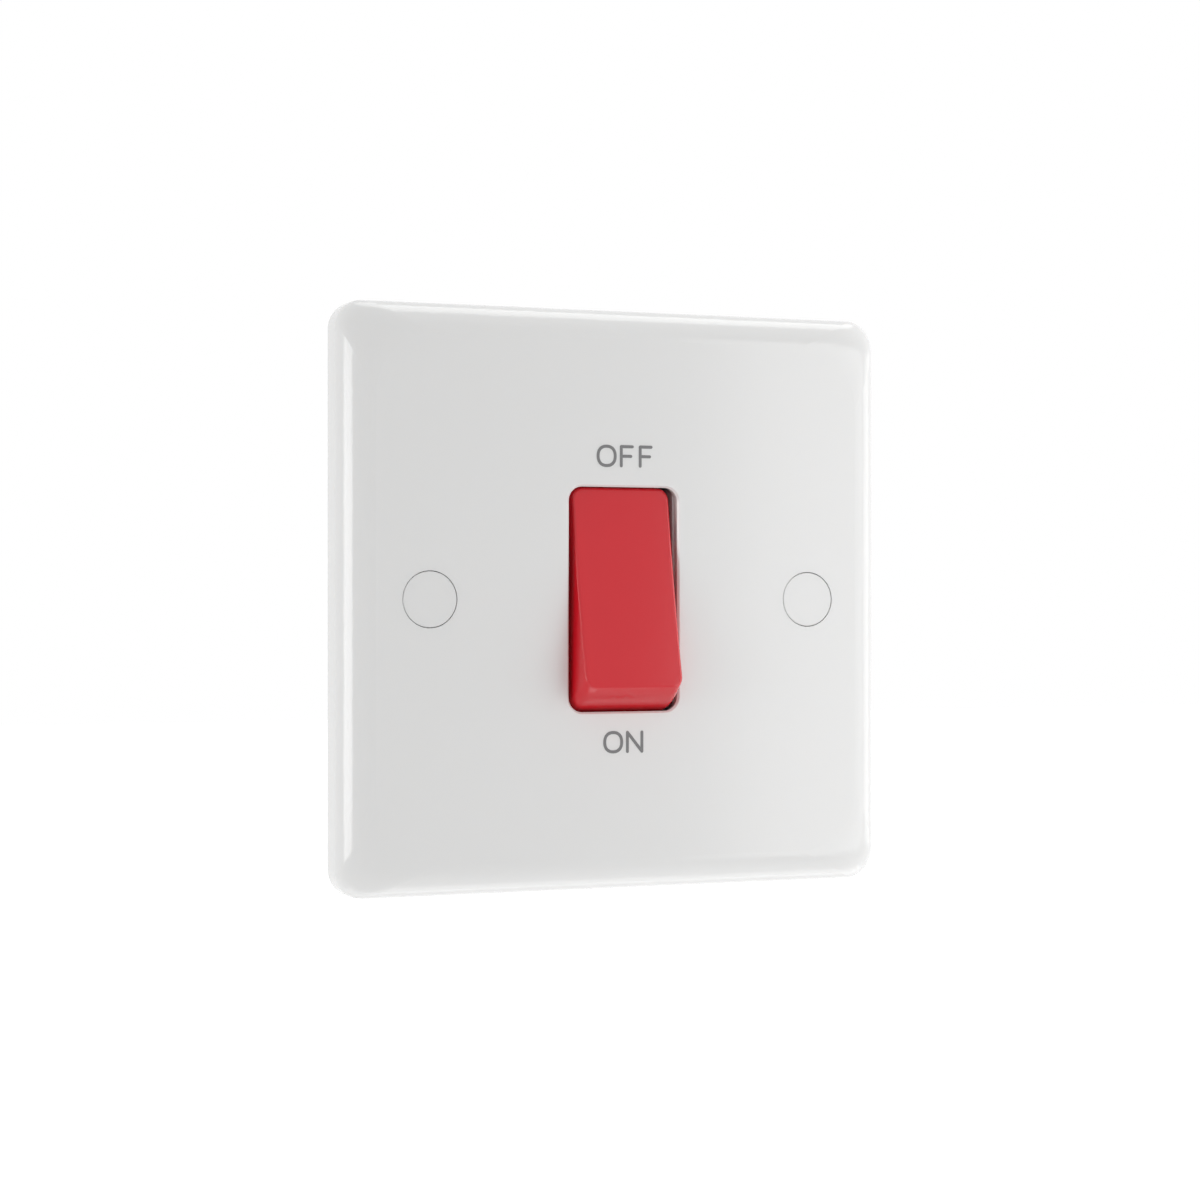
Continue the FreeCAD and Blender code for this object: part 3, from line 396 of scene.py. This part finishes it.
def film(patches, name):
    """One closed film over the union of overlapping patches, given in mm as x and z.

    A Delaunay triangulation cuts the patches at their crossings and covers each place once. It
    also fills what they enclose, so triangles whose middle no patch covers are left out. The
    film is that sheet twice, on either side of the face, and a wall along every edge whose
    reverse no triangle has. Among n spots the edge from a to b is the number a n + b, and its
    reverse is a + b n.
    """
    starts = np.cumsum([0] + [len(patch) for patch in patches])
    loops = [list(range(start, stop)) for start, stop in zip(starts, starts[1:])]
    corners = [Vector(corner) for corner in np.vstack(patches)]
    spots, _, triangles, *_ = delaunay_2d_cdt(corners, [], loops, KEEP_INSIDE, SAME_SPOT)
    spots, sheet, count = np.array(spots), np.array(triangles), len(spots)
    sheet = sheet[covered(spots[sheet].mean(axis=1), patches)]
    edges = np.vstack([sheet[:, [0, 1]], sheet[:, [1, 2]], sheet[:, [2, 0]]])
    rim = edges[~np.isin(edges @ (count, 1), edges @ (1, count))]
    points = np.vstack([np.insert(spots, 1, side * FILM, axis=1) for side in (-1, 1)]) * MM
    points[:, 1] += face_y
    front, back = sheet, sheet[:, ::-1] + count
    walls = np.column_stack([rim[:, ::-1], rim + count])
    mesh = bpy.data.meshes.new(name)
    mesh.from_pydata(points, [], front.tolist() + back.tolist() + walls.tolist())
    mesh.update()
    return mesh


print("the film stands", FILM, "mm out of the face")

# %% [markdown]
# ## Letters
#
# Only three letters are needed. F and N are straight strokes. The O is a superellipse, a
# curve that runs from an ellipse at k = 2 to a rectangle as k grows, because the stamped O is
# a little squarer than an ellipse.

# %% Centre lines of the letters
CAP_HEIGHT = 3.3
O_SQUARENESS = 2.3
O_POINTS = 72
F_BAR_LENGTH = 0.86
F_BAR_HEIGHT = 0.5


def letter_paths(letter, width):
    """Centre lines of one letter in a box of width by CAP_HEIGHT less the stroke, from (0, 0).

    The O is a superellipse, |x/a|^k + |z/b|^k = 1 with k = O_SQUARENESS. At the angle t its
    x/a is the cosine of t with its size raised to the power 2/k, and its z/b is the sine so
    raised. The others join the corners of the box, and the lower bar of the F is F_BAR_LENGTH
    of the width at F_BAR_HEIGHT of the height.
    """
    w, h = width - STROKE, CAP_HEIGHT - STROKE
    if letter == "O":
        turn = np.linspace(0, 2 * math.pi, O_POINTS, endpoint=False)
        waves = np.column_stack([np.cos(turn), np.sin(turn)])
        rounded = np.sign(waves) * np.abs(waves) ** (2 / O_SQUARENESS)
        return [((1 + rounded) * (w / 2, h / 2), True)]
    if letter == "F":
        bar = [(0, h * F_BAR_HEIGHT), (w * F_BAR_LENGTH, h * F_BAR_HEIGHT)]
        strokes = [(0, 0), (0, h)], [(0, h), (w, h)], bar
    else:
        strokes = [(0, 0), (0, h)], [(0, h), (w, 0)], [(w, 0), (w, h)]
    return [(np.array(stroke), False) for stroke in strokes]


print("capitals are", CAP_HEIGHT, "mm high")

# %% [markdown]
# ## Grey foil
#
# The foil is a matt mid grey, and where it was pressed on unevenly it has faint flecks.

# %% Grey foil
def stamped_foil():
    """Matt grey with flecks in its colour and shine."""
    finish = Finish("grey_foil")
    fleck = finish.noise(0.3 * MM, detail=3)
    colour = finish.blend(fleck, shade((0.165, 0.165, 0.168)), shade((0.195, 0.195, 0.198)))
    return finish.done(base_color=colour, roughness=0.38 + fleck * 0.1)


foil_finish = stamped_foil()

# %% [markdown]
# ## The two words
#
# OFF stands above the rocker and ON below it. Each word has the height of its middle, and
# each letter its own left edge and width, in millimetres from the middle of the plate. A word
# is one piece that rides on the unit's fixed body.

# %% Stamp the two words
WORDS = {
    "off": (21.11, (("O", -4.39, 3.18), ("F", -0.70, 2.24), ("F", 2.33, 2.22))),
    "on": (-21.05, (("O", -3.34, 3.16), ("N", 0.28, 2.78))),
}


def stamp(word, middle, letters):
    """Makes one piece for a word, a closed film with an island for each of its letters."""
    patches = []
    for letter, left, width in letters:
        corner = np.array([left + STROKE / 2, middle - (CAP_HEIGHT - STROKE) / 2])
        for path, closed in letter_paths(letter, width):
            patches += ribbon(path + corner, closed)
    mesh = film(patches, f"lettering_{word}")
    mesh.materials.append(foil_finish)
    piece = bpy.data.objects.new(mesh.name, mesh)
    bpy.context.scene.collection.objects.link(piece)
    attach(piece, "switch_body")
    print(mesh.name, len(mesh.vertices), "points")


for word, (middle, letters) in WORDS.items():
    stamp(word, middle, letters)

# %% [markdown]
# ## Camera
#
# The photograph was taken from the left of the unit and level with its middle. Four outline
# points and the two screw caps fix such a camera: 391 mm from the face and 22.2 degrees round,
# with a lens of 79.45 mm for a picture 36 mm wide.

# %% Camera
CAMERA = Vector((-0.15089, -0.36851, -0.0001))
CAMERA_TURN = math.radians(22.188)
camera_data = bpy.data.cameras.new("camera")
camera_data.sensor_width = 36.0
camera_data.lens = 79.45
camera = bpy.data.objects.new("camera", camera_data)
bpy.context.scene.collection.objects.link(camera)
camera.location = CAMERA
look = Vector((math.sin(CAMERA_TURN), math.cos(CAMERA_TURN), 0))
camera.rotation_euler = look.to_track_quat("-Z", "Y").to_euler()
bpy.context.scene.camera = camera
reach = (CAMERA - Vector((0, face_y, 0))).length
print("camera", round(reach / MM), "mm from the middle of the face")

# %% [markdown]
# ## Studio
#
# A light tent: white all round, with brighter lamps at both sides, above and below. What the
# camera or a shiny surface sees of the floor and the tent is white, while the light that they
# scatter on the unit is set apart from that. A Light Path node tells the two kinds of ray
# apart.

# %% What the camera and shiny surfaces see
def seen_directly(tree):
    """1 for rays from the camera, a glossy surface or glass, and 0 for light that is scattered."""
    path = tree.nodes.new("ShaderNodeLightPath")
    seen = path.outputs["Is Camera Ray"]
    for ray in ("Is Glossy Ray", "Is Transmission Ray"):
        either = tree.nodes.new("ShaderNodeMath")
        either.operation = "MAXIMUM"
        tree.links.new(seen, either.inputs[0])
        tree.links.new(path.outputs[ray], either.inputs[1])
        seen = either.outputs[0]
    return seen


def show_white(tree, plain, white, output):
    """Shows the white shader where it is seen directly, and the plain one elsewhere."""
    choice = tree.nodes.new("ShaderNodeMixShader")
    tree.links.new(seen_directly(tree), choice.inputs[0])
    tree.links.new(plain.outputs[0], choice.inputs[1])
    tree.links.new(white.outputs[0], choice.inputs[2])
    tree.links.new(choice.outputs[0], output.inputs[0])


print("the studio shows white to the camera and to shiny surfaces")

# %% [markdown]
# ## Floor
#
# A large sheet of white paper, a quarter of a metre below the unit. It throws some light back
# up, and it keeps the unit's shadow: seen directly it is the lit paper with just enough glow
# added to make it white where the light reaches it.

# %% Floor
FLOOR_DROP = 0.30
FLOOR_HALF = 6.0
PAPER_GLOW = 0.53
floor_mesh = bpy.data.meshes.new("floor")
corners = np.array([(-1, -1, 0), (1, -1, 0), (1, 1, 0), (-1, 1, 0)]) * FLOOR_HALF
floor_mesh.from_pydata(corners - (0, 0, FLOOR_DROP), [], [(0, 1, 2, 3)])
floor = bpy.data.objects.new("floor", floor_mesh)
bpy.context.scene.collection.objects.link(floor)
floor_material = bpy.data.materials.new("floor")
floor_material.use_nodes = True
floor_tree = floor_material.node_tree
paper = floor_tree.nodes["Principled BSDF"]
paper.inputs["Base Color"].default_value = (0.8, 0.8, 0.8, 1)
paper.inputs["Roughness"].default_value = 0.9
paper_glow = floor_tree.nodes.new("ShaderNodeEmission")
paper_glow.inputs["Strength"].default_value = PAPER_GLOW
paper_white = floor_tree.nodes.new("ShaderNodeAddShader")
floor_tree.links.new(paper.outputs[0], paper_white.inputs[0])
floor_tree.links.new(paper_glow.outputs[0], paper_white.inputs[1])
show_white(floor_tree, paper, paper_white, floor_tree.nodes["Material Output"])
floor_mesh.materials.append(floor_material)
print("floor", 2 * FLOOR_HALF, "m across")

# %% [markdown]
# ## Tent
#
# The tent is the world itself: the same soft white from everywhere, a little more than half
# as strong as the white that it shows.

# %% Tent
TENT = 0.61
world = bpy.data.worlds.new("tent")
bpy.context.scene.world = world
world.use_nodes = True
tent_tree = world.node_tree
tent = tent_tree.nodes["Background"]
tent.inputs["Color"].default_value = (1, 1, 1, 1)
tent.inputs["Strength"].default_value = TENT
tent_white = tent_tree.nodes.new("ShaderNodeBackground")
tent_white.inputs["Color"].default_value = (1, 1, 1, 1)
show_white(tent_tree, tent, tent_white, tent_tree.nodes["World Output"])
print("the tent lights the unit with", TENT, "of the white that it shows")

# %% [markdown]
# ## Lamps
#
# Each lamp is a rectangle of light with a place, a point it faces, a width and height, and a
# power. The rims of the plate mirror them, so their places follow from where the photograph
# has its highlights: left and right beside the unit, and one above and one below just
# behind the face. A small one near the camera's right makes the face paler to the right.

# %% Lamps
LAMPS = {
    "left_box": ((-0.546, -0.062, 0.0), (0, 0, 0), (0.32, 0.20), 0.82),
    "right_box": ((0.546, -0.067, 0.0), (0, 0, 0), (0.29, 0.36), 0.49),
    "top_box": ((0.2, 0.09, 0.54), (0.2, 0, 0), (0.6, 0.30), 1.09),
    "bottom_box": ((0.107, 0.048, -0.285), (0.107, 0, 0), (0.60, 0.15), 0.27),
    "near_right_box": ((0.22, -0.22, 0.0), (0, 0, 0), (0.2, 0.3), 0.33),
}
for name, (spot, aim, size, watts) in LAMPS.items():
    lamp_data = bpy.data.lights.new(name, "AREA")
    lamp_data.shape = "RECTANGLE"
    lamp_data.size, lamp_data.size_y = size
    lamp_data.energy = watts
    lamp = bpy.data.objects.new(name, lamp_data)
    lamp.location = spot
    lamp.rotation_euler = (Vector(aim) - Vector(spot)).to_track_quat("-Z", "Y").to_euler()
    lamp.visible_camera = False
    bpy.context.scene.collection.objects.link(lamp)
print(len(LAMPS), "lamps of", round(sum(watts for *_, watts in LAMPS.values()), 2), "W together")

# %% [markdown]
# ## Finish
#
# The plain colour transform keeps a colour as it is written.

# %% Colour transform
bpy.context.scene.view_settings.view_transform = "Standard"
